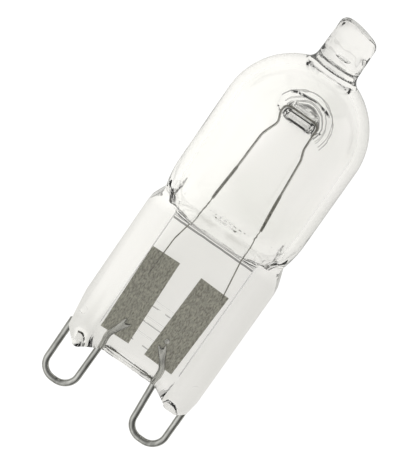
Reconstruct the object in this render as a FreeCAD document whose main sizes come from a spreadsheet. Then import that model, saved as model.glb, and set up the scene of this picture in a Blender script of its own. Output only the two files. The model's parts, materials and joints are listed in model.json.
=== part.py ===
import FreeCAD, Part

import math
import os

import Sketcher

# Halogen capsule bulb with a pinch and two loop contacts, in millimetres.
# Each piece is drawn upright: X across the pinch, Y from front to back, Z along the
# bulb's axis, with Z 0 at the foot of the pinch's web. The pieces are then laid down
# together, so that the bulb rests on its shoulder and on the feet of its two rails.

SIZES = {
    "bulb_diameter": 12.54,
    "glass_wall": 0.85,
    "web_height": 13.24,
    "shoulder_height": 3.3,
    "wall_length": 7.76,
    "floor_thickness": 0.44,
    "cavity_shoulder_height": 3.2,
    "cavity_floor_inset": 0.62,
    "cavity_floor_wall": 0.2,
    "shoulder_swell": 0.8,
    "ring_corner": 37,
    "shoulder_rounding": 1.5,
    "shoulder_turn": 17.9,
    "cavity_rounding": 1.2,
    "low_shoulder": 0.32,
    "low_bulge": 0.42,
    "high_shoulder": 0.62,
    "late_bulge": 0.586,
    "neck_inset": 0.62,
    "tip_base_diameter": 3.9,
    "tip_end_diameter": 3.6,
    "tip_length": 4.04,
    "tip_skew": 11,
    "tip_rounding": 0.6,
    "tip_root_rounding": 1.1,
    "bubble_depth": 2.6,
    "bubble_width": 0.9,
    "bubble_thickness": 0.4,
    "bore_diameter": 0.3,
    "bore_offset": 1.2,
    "bore_swing": 0.35,
    "bore_depth": 1.9,
    "bore_length": 1.3,
    "pinch_width": 13.0,
    "rail_width": 1.5,
    "rail_thickness": 4.4,
    "rail_rounding": 1.1,
    "rail_flank": 1.2,
    "rail_foot_drop": 0.95,
    "left_foot_inset": 1.9,
    "left_foot_width": 0.5,
    "right_foot_inset": 1.55,
    "right_foot_width": 1.1,
    "foot_rounding": 0.24,
    "pinch_rounding": 0.3,
    "web_thickness": 3.0,
    "web_foot_width": 5.4,
    "left_taper_height": 3.5,
    "left_taper_inset": 0.9,
    "left_taper_foot": 0.27,
    "right_taper_height": 0.9,
    "right_taper_inset": 0.45,
    "left_shoulder_drop": 0.34,
    "right_shoulder_drop": 0.94,
    "buttress_inset": 0.7,
    "buttress_rise": 1.06,
    "buttress_length": 1.3,
    "rib_width": 7.0,
    "rib_thickness": 0.14,
    "rib_relief": 0.07,
    "lowest_rib_height": 2.47,
    "rib_pitch": 1.5,
    "rib_count": 3,
    "pip_diameter": 0.7,
    "pip_height": 2.15,
    "groove_width": 0.7,
    "groove_top_height": 2.3,
    "rail_mark_depth": 0.12,
    "tongue_width": 2.95,
    "tongue_thickness": 0.8,
    "tongue_rise": 1.0,
    "tongue_reach": 0.7,
    "tongue_end_wall": 0.3,
    "tongue_rounding": 0.15,
    "slot_width": 2.25,
    "slot_thickness": 0.44,
    "flare_length": 1.3,
    "flare_wall": 0.45,
    "flare_share": 0.9,
    "skin_angle": 60,
    "crater_width": 6.0,
    "crater_thickness": 2.7,
    "crater_throat_width": 4.1,
    "crater_throat_thickness": 1.5,
    "crater_mouth_width": 9.0,
    "crater_mouth_thickness": 5.1,
    "foil_width": 2.84,
    "foil_length": 8.3,
    "foil_thickness": 0.03,
    "foil_face_depth": 0.05,
    "foil_lean": 1.8,
    "foil_foot_height": 1.35,
    "left_foil_offset": 2.47,
    "right_foil_offset": 1.98,
    "contact_spacing": 9.0,
    "wire_diameter": 0.58,
    "loop_width": 3.05,
    "loop_depth": 5.4,
    "loop_bend_radius": 1.4,
    "left_free_end_height": 0.37,
    "right_free_end_height": -0.67,
    "left_knee_offset": 2.88,
    "right_knee_offset": 2.5,
    "knee_height": 1.2,
    "knee_radius": 0.9,
    "left_weld_offset": 2.05,
    "right_weld_offset": 1.35,
    "weld_height": 3.0,
    "weld_seat_margin": 0.05,
    "lead_diameter": 0.12,
    "lead_bend_radius": 2.0,
    "left_lead_overlap": 2.3,
    "right_lead_overlap": 0.6,
    "left_lead_foot_offset": 3.0,
    "right_lead_foot_offset": 3.24,
    "left_lead_bend_offset": 2.88,
    "right_lead_bend_offset": 2.68,
    "left_lead_bend_drop": 2.04,
    "right_lead_bend_drop": 0.24,
    "left_lead_neck_offset": 2.32,
    "right_lead_neck_offset": 2.66,
    "lead_neck_drop": 1.5,
    "leg_diameter": 0.26,
    "coil_diameter": 0.2,
    "coil_foot_rise": 1.82,
    "left_coil_foot_offset": 2.23,
    "right_coil_foot_offset": 2.66,
    "coil_foot_trim": 0.2,
    "leg_share": 0.514,
    "left_leg_top_offset": 2.0,
    "right_leg_top_offset": 2.3,
    "coil_elbow_drop": 2.6,
    "left_coil_elbow_offset": 1.87,
    "right_coil_elbow_offset": 2.0,
    "left_neck_share": 0.44,
    "right_neck_share": 0.72,
    "left_coil_neck_offset": 1.3,
    "right_coil_neck_offset": 1.7,
    "coil_side_drop": 0.35,
    "coil_elbow_radius": 0.8,
    "coil_top_radius": 0.5,
    "coil_clearance": 0.03,
}

# Sizes that follow from the ones above, as formulas of the sheet.
DERIVED = {
    "bulb_radius": "bulb_diameter / 2",
    "cavity_radius": "bulb_diameter / 2 - glass_wall",
    "shoulder_top": "web_height + shoulder_height",
    "dome_height": "shoulder_top + wall_length",
    "high_bulge": "low_bulge + late_bulge * (1 - low_bulge)",
    "cavity_floor": "web_height + floor_thickness",
    "cavity_shoulder": "cavity_floor + cavity_shoulder_height",
    "buttress_foot": "web_height + buttress_rise",
    "buttress_top": "buttress_foot + buttress_length",
    "tip_root": "dome_height + sqrt((bulb_diameter / 2) ^ 2 - (tip_base_diameter / 2) ^ 2)",
    "tip_height": "tip_root + tip_length",
    "tip_slope": "tan(tip_skew)",
    "rail_foot": "0 - rail_foot_drop",
    "left_foot_offset": "pinch_width / 2 - left_foot_inset",
    "right_foot_offset": "pinch_width / 2 - right_foot_inset",
    "rail_inner": "pinch_width / 2 - rail_width",
    "web_side": "pinch_width / 2 - rail_width - rail_flank",
    "flank_rise": "(rail_thickness - web_thickness) / 2",
    "flank_radius": "(rail_flank ^ 2 + flank_rise ^ 2) / (4 * flank_rise)",
    "flank_lift": "flank_radius - sqrt(flank_radius ^ 2 - (rail_flank / 4) ^ 2)",
    "tongue_height": "dome_height + tongue_rise",
    "throat_depth": "bulb_diameter / 2 - flare_share * glass_wall",
    "tongue_root_depth": "throat_depth - flare_length",
    "outer_arm": "(contact_spacing + loop_width) / 2",
    "inner_arm": "(contact_spacing - loop_width) / 2",
    "loop_foot": "wire_diameter / 2 - loop_depth",
    "left_lead_foot_height": "foil_foot_height + foil_length - left_lead_overlap",
    "right_lead_foot_height": "foil_foot_height + foil_length - right_lead_overlap",
    "left_lead_bend_height": "web_height - left_lead_bend_drop",
    "right_lead_bend_height": "web_height - right_lead_bend_drop",
    "lead_neck_height": "coil_foot_height - lead_neck_drop",
    "coil_foot_height": "cavity_floor + coil_foot_rise",
    "coil_elbow_height": "tongue_height - coil_elbow_drop",
    "leg_top_height": "coil_foot_height + leg_share * (coil_elbow_height - coil_foot_height)",
    "left_coil_neck_height": "tongue_height - left_neck_share * coil_elbow_drop",
    "right_coil_neck_height": "tongue_height - right_neck_share * coil_elbow_drop",
    "coil_side_height": "tongue_height - coil_side_drop",
    "coil_side": "tongue_width / 2 + coil_clearance + coil_diameter / 2",
    "coil_top": "tongue_height + tongue_thickness / 2 + coil_clearance + coil_diameter / 2",
    "rest_step": "shoulder_rounding - foot_rounding",
    "rest_run": "shoulder_top - rail_foot + shoulder_rounding * tan(shoulder_turn) - foot_rounding",
    "rest_rise": "bulb_radius - rail_thickness / 2 - rest_step",
    "rest_tilt": "atan(rest_rise / rest_run) + asin(rest_step / sqrt(rest_run ^ 2 + rest_rise ^ 2))",
}

# Lengths and heights that differ by less than this count as the same.
NEAR = 0.01
GLASS = "glass_capsule"
SIDES = {"left": "-1", "right": "1"}


def add_sheet(doc):
    sheet = doc.addObject("Spreadsheet::Sheet", "Sizes")
    cells = {name: str(value) for name, value in SIZES.items()}
    cells.update({name: f"={formula}" for name, formula in DERIVED.items()})
    cells.update({"rest_shift": "0", "rest_lift": "0"})
    for row, (name, text) in enumerate(cells.items(), start=1):
        sheet.set(f"A{row}", name.replace("_", " "))
        sheet.set(f"B{row}", text)
        sheet.setAlias(f"B{row}", name)
    doc.recompute()
    return sheet


def full(text):
    """The same expression with the sheet's name before each of its sizes."""
    words, word = [], ""
    for sign in text + " ":
        if sign.isalnum() or sign == "_":
            word += sign
            continue
        words.append(f"Sizes.{word}" if word in SIZES or word in DERIVED else word)
        words.append(sign)
        word = ""
    return "".join(words).strip()


class Bench:
    """Adds bodies, sketches and features to one document, bound to its sheet of sizes."""

    def __init__(self, doc):
        self.doc = doc
        self.sheet = add_sheet(doc)

    def value(self, text):
        found = self.sheet.evalExpression(full(text))
        return float(getattr(found, "Value", found))

    def point(self, pair):
        return FreeCAD.Vector(self.value(pair[0]), self.value(pair[1]), 0)

    def body(self, name):
        body = self.doc.addObject("PartDesign::Body", name)
        body.Label = name
        return body

    def sketch(self, body, name, role, offset="0"):
        """Sketch on one of the body's origin planes, moved along the plane's normal."""
        sketch = body.newObject("Sketcher::SketchObject", name)
        plane = next(f for f in body.Origin.OriginFeatures if f.Role == role)
        sketch.AttachmentSupport = (plane, [""])
        sketch.MapMode = "FlatFace"
        sketch.setExpression("AttachmentOffset.Base.z", full(offset))
        return sketch

    def bind(self, sketch, kind, place, text):
        """One constraint whose value follows the sheet."""
        index = sketch.addConstraint(Sketcher.Constraint(kind, *place, self.value(text)))
        sketch.setExpression(f"Constraints[{index}]", full(text))

    def pin(self, sketch, geometry, end, across, up):
        """Holds a point at its distances across and up from the sketch's origin."""
        self.bind(sketch, "DistanceX", (-1, 1, geometry, end), across)
        self.bind(sketch, "DistanceY", (-1, 1, geometry, end), up)

    def arc(self, sketch, start, middle, end):
        """Arc through three points, added counter-clockwise, and which of its ends, 1 or 2,
        lies on the start."""
        if (middle - start).cross(end - middle).z > 0:
            return sketch.addGeometry(Part.Arc(start, middle, end)), 1
        return sketch.addGeometry(Part.Arc(end, middle, start)), 2

    def outline(self, sketch, corners, arcs=None):
        """Closed outline. arcs maps a corner's number to the centre and the middle of the
        arc that runs from it to the next corner. All other sides are straight."""
        arcs = arcs or {}
        count = len(corners)
        sides = []
        for i, corner in enumerate(corners):
            start, end = self.point(corner), self.point(corners[(i + 1) % count])
            if i in arcs:
                side, first = self.arc(sketch, start, self.point(arcs[i][1]), end)
            else:
                side, first = sketch.addGeometry(Part.LineSegment(start, end)), 1
            sides.append((side, first, end - start))
            self.pin(sketch, side, first, *corner)
        for i, (side, first, chord) in enumerate(sides):
            after, after_first, _ = sides[(i + 1) % count]
            joint = (side, 3 - first, after, after_first)
            sketch.addConstraint(Sketcher.Constraint("Coincident", *joint))
            if i in arcs:
                across, up = arcs[i][0]
                if abs(chord.y) >= abs(chord.x):
                    self.bind(sketch, "DistanceX", (-1, 1, side, 3), across)
                else:
                    self.bind(sketch, "DistanceY", (-1, 1, side, 3), up)

    def path(self, sketch, corners):
        """Open run of straight lines. A corner that names a radius gets a tangent arc."""
        points = [self.point(c) for c in corners]
        line = sketch.addGeometry(Part.LineSegment(points[0], points[1]))
        self.pin(sketch, line, 1, *corners[0])
        for i, corner in enumerate(corners[1:-1], start=1):
            before, here, after = points[i - 1 : i + 2]
            if len(corner) == 2:
                ahead = sketch.addGeometry(Part.LineSegment(here, after))
                joint = (line, 2, ahead, 1)
                sketch.addConstraint(Sketcher.Constraint("Coincident", *joint))
                self.pin(sketch, ahead, 1, *corner)
                line = ahead
                continue
            size = self.value(corner[2])
            back, onward = (before - here).normalize(), (after - here).normalize()
            half = back.getAngle(onward) / 2
            reach = size / math.tan(half)
            middle = here + (back + onward).normalize() * (size / math.sin(half) - size)
            cut = (here + back * reach, here + onward * reach)
            sketch.moveGeometry(line, 2, cut[0])
            bend, first = self.arc(sketch, cut[0], middle, cut[1])
            ahead = sketch.addGeometry(Part.LineSegment(cut[1], after))
            knot = sketch.addGeometry(Part.Point(here), True)
            self.pin(sketch, knot, 1, corner[0], corner[1])
            for side in (line, ahead):
                touch = Sketcher.Constraint("PointOnObject", knot, 1, side)
                sketch.addConstraint(touch)
            for joint in ((line, 2, bend, first), (bend, 3 - first, ahead, 1)):
                sketch.addConstraint(Sketcher.Constraint("Tangent", *joint))
            self.bind(sketch, "Radius", (bend,), corner[2])
            line = ahead
        self.pin(sketch, line, 2, *corners[-1])

    def circle(self, sketch, across, up, diameter):
        centre, radius = self.point((across, up)), self.value(diameter) / 2
        ring = sketch.addGeometry(Part.Circle(centre, FreeCAD.Vector(0, 0, 1), radius))
        self.pin(sketch, ring, 3, across, up)
        self.bind(sketch, "Diameter", (ring,), diameter)

    def stadium(self, sketch, width, height, up):
        """Flat band with round ends, centred across, at height up."""
        side, end, radius = f"({width} - ({height})) / 2", f"({width}) / 2", f"({height}) / 2"
        low, high = f"{up} - {radius}", f"{up} + {radius}"
        corners = ((f"-{side}", low), (side, low), (side, high), (f"-{side}", high))
        right, left = ((side, up), (end, up)), ((f"-{side}", up), (f"-{end}", up))
        self.outline(sketch, corners, {1: right, 3: left})

    def feature(self, body, kind, name, **values):
        made = body.newObject(f"PartDesign::{kind}", name)
        for key, value in values.items():
            if isinstance(value, str) and key in ("Length", "Radius"):
                made.setExpression(key, full(value))
            else:
                setattr(made, key, value)
        return made

    def spin(self, body, kind, name, sketch):
        axis = (sketch, ["V_Axis"])
        return self.feature(body, kind, name, Profile=sketch, ReferenceAxis=axis, Angle=360)

    def pad(self, body, name, sketch, length, side="One side"):
        return self.feature(body, "Pad", name, Profile=sketch, Length=length, SideType=side)

    def spin_cut(self, body, name, sketch):
        self.doc.recompute()
        axis = (sketch, ["V_Axis"])
        return self.cut(
            body, "Groove", name, Profile=sketch, ReferenceAxis=axis, Angle=360
        )

    def cut(self, body, kind, name, **values):
        """Subtractive feature, which has to take some volume away."""
        self.doc.recompute()
        before = body.Shape.Volume
        made = self.feature(body, kind, name, **values)
        self.doc.recompute()
        if not body.Shape.Volume < before:
            raise ValueError(f"{name} cuts nothing")
        return made

    def round_edges(self, body, name, radius, wanted):
        """Fillet on the body's edges that wanted(edge) picks."""
        self.doc.recompute()
        base = body.Tip
        picked = [f"Edge{i}" for i, e in enumerate(base.Shape.Edges, start=1) if wanted(e)]
        if not picked:
            raise ValueError(f"{name} finds no edge")
        return self.feature(body, "Fillet", name, Base=(base, picked), Radius=radius)

    def wire(self, body, name, corners, diameter, kind="AdditivePipe"):
        """Round wire that starts level, on the first corner, and follows the corners."""
        path = self.sketch(body, f"{name}Path", "XZ_Plane")
        self.path(path, corners)
        across, up = corners[0]
        section = self.sketch(body, f"{name}Section", "XY_Plane", up)
        self.circle(section, across, "0", diameter)
        self.doc.recompute()
        edges = [f"Edge{i}" for i in range(1, len(path.Shape.Edges) + 1)]
        return self.feature(body, kind, name, Profile=section, Spine=(path, edges))


def level(bench, height):
    """Picks the edges that lie level at a height."""
    at = bench.value(height)

    def picks(edge):
        return abs(edge.BoundBox.ZMin - at) < NEAR and abs(edge.BoundBox.ZMax - at) < NEAR

    return picks


def add_pinch(bench, body):
    """Flat pinch: a rounded block, trimmed to its outline, with a web between two rails."""
    block = bench.sketch(body, "PinchSection", "XY_Plane", "2 * rail_foot")
    wide, thick, turn = "pinch_width / 2", "rail_thickness / 2", "rail_rounding"
    near, far = f"({wide} - {turn})", f"({thick} - {turn})"
    lean = f"{turn} * (1 - cos(45))"
    middle = (f"({wide} - {lean})", f"({thick} - {lean})")
    corners = (
        (f"-{near}", f"-{thick}"),
        (near, f"-{thick}"),
        (wide, f"-{far}"),
        (wide, far),
        (near, thick),
        (f"-{near}", thick),
        (f"-{wide}", far),
        (f"-{wide}", f"-{far}"),
    )
    arcs = {
        1: ((near, f"-{far}"), (middle[0], f"-{middle[1]}")),
        3: ((near, far), middle),
        5: ((f"-{near}", far), (f"-{middle[0]}", middle[1])),
        7: ((f"-{near}", f"-{far}"), (f"-{middle[0]}", f"-{middle[1]}")),
    }
    bench.outline(block, corners, arcs)
    bench.pad(body, "PinchBlock", block, "buttress_top + rail_thickness")

    trim = bench.sketch(body, "PinchOutline", "XZ_Plane")
    foot, neck, web = "rail_foot", f"({wide} - buttress_inset)", "web_foot_width / 2"
    left, right = "left_foot_width / 2", "right_foot_width / 2"
    outline = (
        (f"-({wide})", "web_height - left_shoulder_drop"),
        (f"-({wide})", "left_taper_height"),
        (f"-({wide} - left_taper_inset / 2)", "left_taper_foot"),
        (f"-(left_foot_offset + {left})", foot),
        (f"-(left_foot_offset - {left})", foot),
        (f"-{web}", "0"),
        (web, "0"),
        (f"right_foot_offset - {right}", foot),
        (f"right_foot_offset + {right}", foot),
        (f"{wide} - right_taper_inset / 2", "0 - right_taper_inset"),
        (wide, "right_taper_height"),
        (wide, "web_height - right_shoulder_drop"),
        (neck, "buttress_foot"),
        (neck, "buttress_top"),
        (f"-{neck}", "buttress_top"),
        (f"-{neck}", "buttress_foot"),
    )
    bench.outline(trim, outline)
    side, low, high = "pinch_width", "2 * rail_foot", "buttress_top + rail_thickness"
    bench.outline(trim, ((f"-{side}", low), (side, low), (side, high), (f"-{side}", high)))
    bench.cut(
        body, "Pocket", "PinchTrim", Profile=trim, Length="2 * rail_thickness",
        SideType="Symmetric",
    )
    round_pinch(bench, body)

    top = "web_height + flank_rise"
    recess = bench.sketch(body, "WebSection", "XY_Plane", top)
    middle = "(web_side + rail_inner) / 2"
    for sign in ("-", ""):
        face, rail = f"{sign}(web_thickness / 2)", f"{sign}(rail_thickness / 2)"
        half, far = f"{sign}((web_thickness + flank_rise) / 2)", f"{sign}rail_thickness"
        low = [f"{sign}(web_thickness / 2 + {rise})" for rise in ("flank_radius", "flank_lift")]
        high = [f"{sign}(rail_thickness / 2 - {drop})" for drop in ("flank_radius", "flank_lift")]
        corners = (
            ("-web_side", face),
            ("web_side", face),
            (middle, half),
            ("rail_inner", rail),
            ("rail_inner", far),
            ("-rail_inner", far),
            ("-rail_inner", rail),
            (f"-{middle}", half),
        )
        near, out = "(web_side + rail_flank / 4)", "(rail_inner - rail_flank / 4)"
        arcs = {
            1: (("web_side", low[0]), (near, low[1])),
            2: (("rail_inner", high[0]), (out, high[1])),
            6: (("-rail_inner", high[0]), (f"-{out}", high[1])),
            7: (("-web_side", low[0]), (f"-{near}", low[1])),
        }
        bench.outline(recess, corners, arcs)
    bench.cut(
        body, "Pocket", "WebRecess", Profile=recess, Length=f"{top} + 2 * rail_foot_drop"
    )


def round_pinch(bench, body):
    """The pinch was pressed soft, so that its feet and its corners are round."""
    low = bench.value("right_taper_height") + NEAR
    bend = bench.value("left_taper_height") + NEAR
    high = bench.value("buttress_foot") + NEAR

    def at_foot(edge):
        box = edge.BoundBox
        return box.ZMax < low and max(box.XLength, box.YLength) > NEAR

    def at_corner(edge):
        box = edge.BoundBox
        return bend < box.ZMax < high and max(box.XLength, box.ZLength) < NEAR

    bench.round_edges(body, "PinchFeet", "foot_rounding", at_foot)
    bench.round_edges(body, "PinchCorners", "pinch_rounding", at_corner)


def oval(bench, body, name, height, wide, thick, swell):
    """Section of four smooth arcs, given by its half width and half thickness. swell is how
    much smaller the end arcs are than the half thickness."""
    sketch = bench.sketch(body, name, "XY_Plane", height)
    core = f"({wide} - {thick} + {swell})"
    drop = f"(({core} ^ 2 - ({swell}) ^ 2) / (2 * {swell}))"
    across = f"{core} * (1 + ({thick} - {swell}) / ({drop} + {swell}))"
    up = f"({thick} - {swell}) * {drop} / ({drop} + {swell})"
    corners = (
        (f"-({across})", f"-({up})"),
        (across, f"-({up})"),
        (across, up),
        (f"-({across})", up),
    )
    arcs = {
        0: (("0", drop), ("0", f"-{thick}")),
        1: ((core, "0"), (wide, "0")),
        2: (("0", f"-{drop}"), ("0", thick)),
        3: ((f"-{core}", "0"), (f"-{wide}", "0")),
    }
    bench.outline(sketch, corners, arcs)
    return sketch


def ring(bench, body, name, height, radius):
    """Circle of four arcs, so that it can be joined with ovals."""
    sketch = bench.sketch(body, name, "XY_Plane", height)
    across, up = f"{radius} * sin(ring_corner)", f"{radius} * cos(ring_corner)"
    corners = (
        (f"-({across})", f"-({up})"),
        (across, f"-({up})"),
        (across, up),
        (f"-({across})", up),
    )
    middles = (("0", f"-{radius}"), (radius, "0"), ("0", radius), (f"-{radius}", "0"))
    bench.outline(sketch, corners, {i: (("0", "0"), middle) for i, middle in enumerate(middles)})
    return sketch


def shoulder(bench, body, name, foot, rise, wide, thick, radius):
    """Sections that lead from a flat band at the pinch to the round bulb."""
    flat = bench.sketch(body, f"{name}Foot", "XY_Plane", foot)
    bench.stadium(flat, f"2 * {wide}", f"2 * {thick}", "0")
    sections = [flat]
    for part, swell in (("low", "(shoulder_swell)"), ("high", "(shoulder_swell / 2)")):
        height = f"{foot} + {part}_shoulder * {rise}"
        half = [f"({size} + {part}_bulge * ({radius} - {size}))" for size in (wide, thick)]
        sections.append(oval(bench, body, f"{name}{part.title()}", height, *half, swell))
    sections.append(ring(bench, body, f"{name}Ring", f"{foot} + {rise}", radius))
    bench.doc.recompute()
    return sections


def add_bulb(bench, body):
    """Round bulb with its hemispherical dome and the stub of its sealed tip. Below, it
    narrows to the flat pinch."""
    profile = bench.sketch(body, "BulbProfile", "XZ_Plane")
    top = "tip_height + tip_base_diameter / 2"
    corners = (
        ("0", "shoulder_top"),
        ("bulb_radius", "shoulder_top"),
        ("bulb_radius", "dome_height"),
        ("tip_base_diameter / 2", "tip_root"),
        ("tip_end_diameter / 2", top),
        ("0", top),
    )
    dome = ("bulb_radius * cos(45)", "dome_height + bulb_radius * sin(45)")
    bench.outline(profile, corners, {2: (("0", "dome_height"), dome)})
    bench.spin(body, "Revolution", "Bulb", profile)
    sections = shoulder(
        bench, body, "Shoulder", "web_height", "shoulder_height", "(bulb_radius - neck_inset)",
        "(web_thickness / 2)", "bulb_radius",
    )
    bench.feature(body, "AdditiveLoft", "Shoulder", Profile=sections[0], Sections=sections[1:])
    bench.round_edges(body, "ShoulderRim", "shoulder_rounding", level(bench, "shoulder_top"))


def finish_tip(bench, body):
    """The tip was cut off a little askew, and its rim and root have melted round."""
    skew = bench.sketch(body, "TipSkew", "XZ_Plane")
    rise = "tip_base_diameter * tip_slope"
    top = "tip_height + tip_base_diameter"
    corners = (
        ("-tip_base_diameter", f"tip_height + {rise}"),
        ("tip_base_diameter", f"tip_height - {rise}"),
        ("tip_base_diameter", top),
        ("-tip_base_diameter", top),
    )
    bench.outline(skew, corners)
    bench.cut(
        body,
        "Pocket",
        "TipEnd",
        Profile=skew,
        Length="2 * tip_base_diameter",
        SideType="Symmetric",
    )
    low = bench.value("tip_height - tip_base_diameter * tip_slope")

    def rim(edge):
        return edge.BoundBox.ZMin > low and edge.BoundBox.YLength > NEAR

    bench.round_edges(body, "TipRim", "tip_rounding", rim)
    bench.round_edges(body, "TipRoot", "tip_root_rounding", level(bench, "tip_root"))


def hollow_bulb(bench, body):
    """Gas space, which narrows below to a flat channel where the pinch closed the tube."""
    profile = bench.sketch(body, "CavityProfile", "XZ_Plane")
    corners = (
        ("0", "cavity_shoulder"),
        ("cavity_radius", "cavity_shoulder"),
        ("cavity_radius", "dome_height"),
        ("0", "dome_height + cavity_radius"),
    )
    dome = ("cavity_radius * cos(45)", "dome_height + cavity_radius * sin(45)")
    bench.outline(profile, corners, {2: (("0", "dome_height"), dome)})
    bench.spin_cut(body, "Cavity", profile)
    sections = shoulder(
        bench, body, "Floor", "cavity_floor", "cavity_shoulder_height",
        "(cavity_radius - cavity_floor_inset)", "(web_thickness / 2 - cavity_floor_wall)",
        "cavity_radius",
    )
    bench.cut(
        body, "SubtractiveLoft", "CavityFloor", Profile=sections[0], Sections=sections[1:]
    )
    bench.round_edges(body, "CavityRim", "cavity_rounding", level(bench, "cavity_shoulder"))


def band(bench, body, name, depth, width, height):
    """Section across the tongue's axis, at a depth behind the bulb's axis."""
    sketch = bench.sketch(body, name, "XZ_Plane", f"-({depth})")
    bench.stadium(sketch, width, height, "tongue_height")
    return sketch


def press_tongue(bench, body):
    """Hollow tongue pressed in from the back wall, which carries the filament's middle."""
    wall = "2 * flare_wall"
    half = "tongue_root_depth + flare_length / 2"
    wide = band(
        bench, body, "FlareMouth", "throat_depth", f"crater_width + {wall}",
        f"crater_thickness + {wall}",
    )
    waist = band(
        bench, body, "FlareWaist", half, f"crater_throat_width + {wall}",
        f"crater_throat_thickness + {wall}",
    )
    root = band(
        bench, body, "TongueRoot", "tongue_root_depth", "tongue_width", "tongue_thickness"
    )
    bench.doc.recompute()
    bench.feature(body, "AdditiveLoft", "Flare", Profile=wide, Sections=[waist, root])
    section = band(
        bench, body, "TongueSection", "tongue_root_depth", "tongue_width", "tongue_thickness"
    )
    bench.pad(body, "Tongue", section, "tongue_root_depth + tongue_reach")
    face, low = bench.value("-tongue_reach"), bench.value("tongue_height - tongue_thickness")

    def at_end(edge):
        box = edge.BoundBox
        return abs(box.YMin - face) < NEAR and abs(box.YMax - face) < NEAR and box.ZMin > low

    bench.round_edges(body, "TongueEnd", "tongue_rounding", at_end)

    slot = ("slot_width", "slot_thickness")
    mouth_depth = "throat_depth + flare_length"
    mouth = band(
        bench, body, "CraterMouth", mouth_depth, "crater_mouth_width", "crater_mouth_thickness"
    )
    face = band(
        bench, body, "CraterFace", "throat_depth", "crater_width", "crater_thickness"
    )
    throat = band(
        bench, body, "CraterThroat", half, "crater_throat_width", "crater_throat_thickness"
    )
    neck = band(bench, body, "SlotMouth", "tongue_root_depth", *slot)
    bench.doc.recompute()
    bench.cut(body, "SubtractiveLoft", "Crater", Profile=mouth, Sections=[face, throat, neck])
    bore = band(bench, body, "SlotSection", "tongue_root_depth", *slot)
    bench.cut(
        body,
        "Pocket",
        "Slot",
        Profile=bore,
        Length="tongue_root_depth + tongue_reach - tongue_end_wall",
        Reversed=True,
    )


def trim_crater(bench, body):
    """Nothing of the flare stands out of the round bulb."""
    skin = bench.sketch(body, "SkinProfile", "XZ_Plane")
    low, out = "shoulder_top + wall_length / 2", "bulb_radius + flare_length"
    side = ("bulb_radius * cos(skin_angle)", "dome_height + bulb_radius * sin(skin_angle)")
    corners = (
        ("bulb_radius", low),
        (out, low),
        (out, side[1]),
        side,
        ("bulb_radius", "dome_height"),
    )
    half = "(skin_angle / 2)"
    middle = (f"bulb_radius * cos({half})", f"dome_height + bulb_radius * sin({half})")
    bench.outline(skin, corners, {3: (("0", "dome_height"), middle)})
    bench.spin_cut(body, "Skin", skin)


def add_ribs(bench, body):
    """Fine ribs that the pressing die leaves across the back of the web."""
    face = "web_thickness / 2 - rib_relief"
    sketch = bench.sketch(body, "RibSection", "XZ_Plane", f"-({face})")
    low, high = "lowest_rib_height - rib_thickness / 2", "lowest_rib_height + rib_thickness / 2"
    side = "rib_width / 2"
    bench.outline(sketch, ((f"-{side}", low), (side, low), (side, high), (f"-{side}", high)))
    rib = bench.pad(body, "Rib", sketch, "2 * rib_relief")
    rib.Reversed = True
    bench.doc.recompute()
    pattern = body.newObject("PartDesign::LinearPattern", "Ribs")
    pattern.Originals = [rib]
    pattern.Direction = (sketch, ["V_Axis"])
    pattern.setExpression("Length", full("rib_pitch * (rib_count - 1)"))
    pattern.setExpression("Occurrences", full("rib_count"))
    body.Tip = pattern


def seal_bubble(bench, body):
    """Flat round bubble left in the tip, where the pumping tube was melted shut."""
    profile = bench.sketch(body, "BubbleProfile", "XZ_Plane")
    half = "bubble_thickness / 2"
    edge = f"bubble_width / 2 - {half}"
    height = "(tip_height - bubble_depth)"
    low, high = f"{height} - {half}", f"{height} + {half}"
    corners = (("0", low), (edge, low), (edge, high), ("0", high))
    rim = ((edge, height), ("bubble_width / 2", height))
    bench.outline(profile, corners, {1: rim})
    bench.spin_cut(body, "Bubble", profile)


def close_bore(bench, body):
    """What is left of the pumping tube's bore: a thin crooked thread beside the bubble."""
    top = "tip_height - bore_depth"
    corners = (
        ("bore_offset", top),
        ("bore_offset + bore_swing", f"{top} - bore_length / 2", "bore_diameter"),
        ("bore_offset", f"{top} - bore_length"),
    )
    bench.wire(body, "Bore", corners, "bore_diameter", "SubtractivePipe")


def mark_rails(bench, body):
    """Ejector pip in the front of the left rail, and a blind groove in the right one."""
    centre = "(pinch_width - rail_width) / 2"
    face = "rail_thickness / 2"
    pip = bench.sketch(body, "PipSection", "XZ_Plane", face)
    bench.circle(pip, f"-({centre})", "pip_height", "pip_diameter")
    bench.cut(body, "Pocket", "Pip", Profile=pip, Length="rail_mark_depth")
    groove = bench.sketch(body, "GrooveSection", "XZ_Plane", face)
    half = "groove_width / 2"
    left, right = f"{centre} - {half}", f"{centre} + {half}"
    top, low = f"groove_top_height - {half}", "2 * rail_foot"
    corners = ((left, low), (right, low), (right, top), (left, top))
    bench.outline(groove, corners, {2: ((centre, top), (centre, "groove_top_height"))})
    bench.cut(body, "Pocket", "Groove", Profile=groove, Length="rail_mark_depth")


def build_blank(bench):
    """The glass capsule before the pieces sealed in it take their room."""
    body = bench.body("glass_blank")
    add_pinch(bench, body)
    add_bulb(bench, body)
    finish_tip(bench, body)
    hollow_bulb(bench, body)
    press_tongue(bench, body)
    trim_crater(bench, body)
    add_ribs(bench, body)
    mark_rails(bench, body)
    seal_bubble(bench, body)
    close_bore(bench, body)
    return body


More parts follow.
